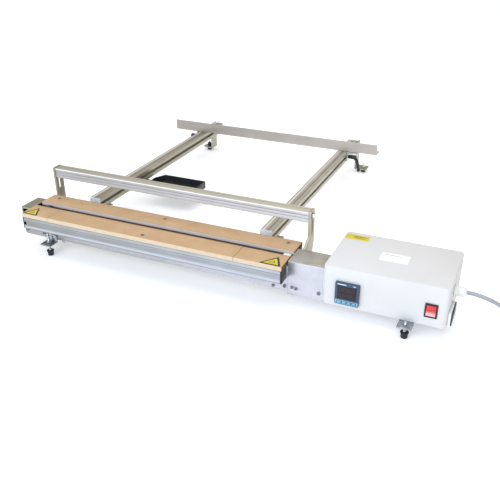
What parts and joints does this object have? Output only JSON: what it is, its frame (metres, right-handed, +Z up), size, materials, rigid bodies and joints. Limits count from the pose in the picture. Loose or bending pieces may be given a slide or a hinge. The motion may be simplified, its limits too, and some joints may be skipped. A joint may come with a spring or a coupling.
{
  "type": "hot wire strip heater",
  "caption": "Bench strip heater for bending plastic sheet: slotted wire bed, hold-down bar, sliding back stop on two rails and a control box with a cord.",
  "frame": {"origin": "middle of the machine's footprint on the floor, cord not counted", "axes": "+X along the bed towards the control box, +Y from the operator's side to the back, +Z up"},
  "size_m": [1.301, 0.88, 0.1793],
  "materials": {
    "profile_aluminium": "natural anodised, satin",
    "bar_aluminium": "mill finish, fine lengthways grain",
    "sheet_steel": "zinc-plated sheet, satin",
    "insulating_board": "tan pressed insulating board, matt",
    "plated_steel": "bright zinc plate",
    "foot_rubber": "black, matt",
    "black_plastic": "black, satin",
    "enclosure_paint": "light grey-white powder coat",
    "controller_blue": "slate blue, satin",
    "display_dark": "smoked window",
    "key_cyan": "light cyan",
    "rocker_red": "translucent red",
    "heating_alloy": "oxidised resistance wire",
    "ceramic_white": "unglazed",
    "winding_copper": "enamelled copper",
    "white_plastic": "white nylon",
    "cord_grey": "grey cord sheath"
  },
  "bodies": {
    "machine": {"front_profile": "profile_aluminium", "rear_profile": "profile_aluminium", "rail_left": "profile_aluminium", "rail_right": "profile_aluminium", "arm_left": "bar_aluminium", "arm_right": "bar_aluminium", "bed_channel": "sheet_steel", "link_housing": "sheet_steel", "tension_cover": "sheet_steel", "enclosure_base": "sheet_steel", "transformer_core": "sheet_steel", "front_board_left": "insulating_board", "front_board_middle": "insulating_board", "front_board_right": "insulating_board", "rear_board": "insulating_board", "rail_bracket_left": "plated_steel", "rail_bracket_right": "plated_steel", "foot_bracket_front_left": "plated_steel", "foot_bracket_front_right": "plated_steel", "foot_bracket_rear_left": "plated_steel", "foot_bracket_rear_right": "plated_steel", "tension_spring": "plated_steel", "controller_case": "black_plastic", "switch_frame": "black_plastic", "solid_state_relay": "black_plastic", "socket_cover": "black_plastic", "parts_tray": "black_plastic", "mains_plug": "black_plastic", "enclosure_cover": "enclosure_paint", "controller_bezel": "controller_blue", "controller_display": "display_dark", "heating_wire": "heating_alloy", "wire_end_block": "ceramic_white", "transformer_winding": "winding_copper", "cable_gland": "white_plastic", "socket_base": "white_plastic", "mains_cord": "cord_grey", "mains_cord_coil": "cord_grey"},
    "hold_down": {"hold_down_bar": "profile_aluminium", "bar_bolt_left": "plated_steel", "bar_bolt_right": "plated_steel"},
    "back_stop": {"stop_bar": "bar_aluminium", "stop_bracket_left": "plated_steel", "stop_bracket_right": "plated_steel"},
    "lever_left": {"clamp_lever_left": "black_plastic"},
    "lever_right": {"clamp_lever_right": "black_plastic"},
    "rocker": {"switch_rocker": "rocker_red"},
    "tensioner": {"tension_slider": "black_plastic"},
    "key_1": {"controller_key_1": "key_cyan"},
    "key_2": {"controller_key_2": "key_cyan"},
    "key_3": {"controller_key_3": "key_cyan"},
    "key_4": {"controller_key_4": "key_cyan"},
    "foot_front_left": {"foot_pad_front_left": "foot_rubber", "foot_stud_front_left": "plated_steel"},
    "foot_front_right": {"foot_pad_front_right": "foot_rubber", "foot_stud_front_right": "plated_steel"},
    "foot_rear_left": {"foot_pad_rear_left": "foot_rubber", "foot_stud_rear_left": "plated_steel"},
    "foot_rear_right": {"foot_pad_rear_right": "foot_rubber", "foot_stud_rear_right": "plated_steel"}
  },
  "joints": [
    {"name": "stop_slide", "type": "slide", "parent": "machine", "child": "back_stop", "axis": [0, 1, 0], "range_m": [-0.56, 0.06]},
    {"name": "hold_down_slide", "type": "slide", "parent": "machine", "child": "hold_down", "axis": [0, 0, 1], "range_m": [-0.04, 0.003]},
    {"name": "lever_left_turn", "type": "hinge", "parent": "back_stop", "child": "lever_left", "pos_m": [-0.44645, 0.312, 0.083], "axis": [1, 0, 0], "range_deg": [-150, 10]},
    {"name": "lever_right_turn", "type": "hinge", "parent": "back_stop", "child": "lever_right", "pos_m": [0.10995, 0.312, 0.083], "axis": [1, 0, 0], "range_deg": [-80, 80]},
    {"name": "foot_front_left_level", "type": "slide", "parent": "machine", "child": "foot_front_left", "axis": [0, 0, 1], "range_m": [-0.012, 0]},
    {"name": "foot_front_right_level", "type": "slide", "parent": "machine", "child": "foot_front_right", "axis": [0, 0, 1], "range_m": [-0.012, 0]},
    {"name": "foot_rear_left_level", "type": "slide", "parent": "machine", "child": "foot_rear_left", "axis": [0, 0, 1], "range_m": [-0.008, 0]},
    {"name": "foot_rear_right_level", "type": "slide", "parent": "machine", "child": "foot_rear_right", "axis": [0, 0, 1], "range_m": [-0.008, 0]},
    {"name": "switch_rock", "type": "hinge", "parent": "machine", "child": "rocker", "pos_m": [0.46695, -0.409, 0.0658], "axis": [1, 0, 0], "range_deg": [0, 14]},
    {"name": "key_1_press", "type": "slide", "parent": "machine", "child": "key_1", "axis": [0, 1, 0], "range_m": [0, 0.0005], "stiffness_N_per_m": 1200},
    {"name": "key_2_press", "type": "slide", "parent": "machine", "child": "key_2", "axis": [0, 1, 0], "range_m": [0, 0.0005], "stiffness_N_per_m": 1200},
    {"name": "key_3_press", "type": "slide", "parent": "machine", "child": "key_3", "axis": [0, 1, 0], "range_m": [0, 0.0005], "stiffness_N_per_m": 1200},
    {"name": "key_4_press", "type": "slide", "parent": "machine", "child": "key_4", "axis": [0, 1, 0], "range_m": [0, 0.0005], "stiffness_N_per_m": 1200},
    {"name": "wire_tension", "type": "slide", "parent": "machine", "child": "tensioner", "axis": [1, 0, 0], "range_m": [-0.004, 0], "stiffness_N_per_m": 800, "deforming": ["tension_spring"]}
  ]
}
